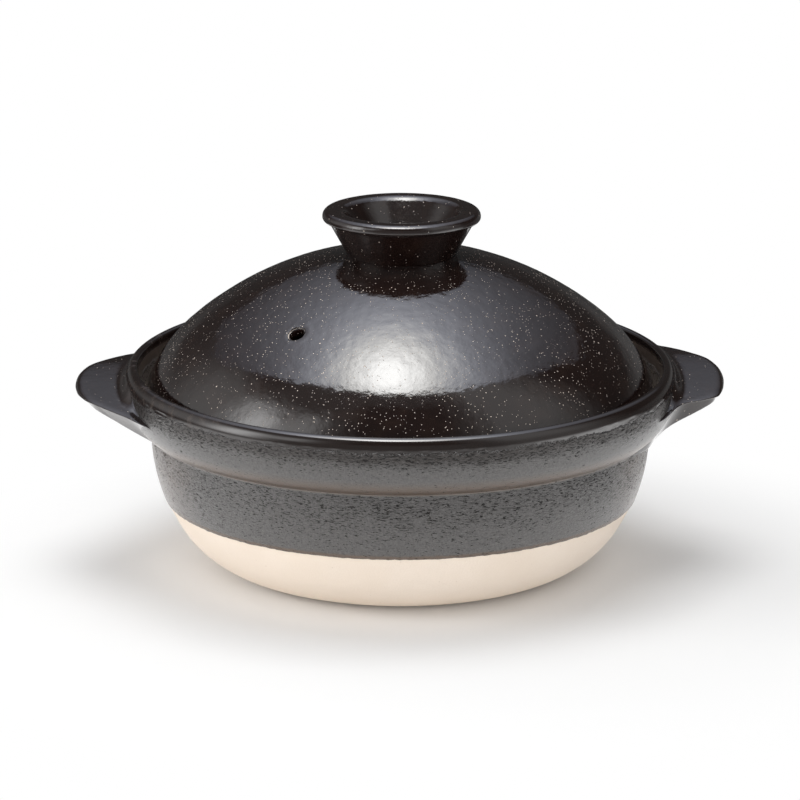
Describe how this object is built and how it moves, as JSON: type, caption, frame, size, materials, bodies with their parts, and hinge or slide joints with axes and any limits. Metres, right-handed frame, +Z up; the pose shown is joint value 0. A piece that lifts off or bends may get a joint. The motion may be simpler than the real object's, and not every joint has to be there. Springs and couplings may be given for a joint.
{
  "type": "donabe clay pot",
  "caption": "Lidded clay cooking pot: round bowl with a flared collar and lug handles, and a domed lid with a flared knob and a steam hole.",
  "frame": {"origin": "centre of the flat foot, on the surface that the pot stands on", "axes": "+Z up along the axis of the bowl and the lid; +X towards the right lug handle; -Y the front, seen in the picture"},
  "size_m": [0.296, 0.25, 0.1648],
  "materials": {
    "bare_clay": "unglazed fired clay, smooth and dry, with fine dark grains",
    "dark_glaze": "glossy brown-black glaze with pinholes that show pale clay",
    "wall_glaze": "semi-matt dark grey glaze, pitted over coarse clay, glossy at the lip"
  },
  "bodies": {
    "bowl": {"bowl_clay": "bare_clay", "bowl_outer_glaze": "wall_glaze", "bowl_inner_glaze": "dark_glaze", "handle_left": "dark_glaze", "handle_right": "dark_glaze"},
    "lid": {"lid_clay": "bare_clay", "lid_outer_glaze": "dark_glaze", "lid_inner_glaze": "dark_glaze", "lid_knob": "dark_glaze"}
  },
  "joints": [
    {"name": "lid_lift", "type": "slide", "parent": "bowl", "child": "lid", "axis": [0, 0, 1], "range_m": [0, 0.15]}
  ]
}
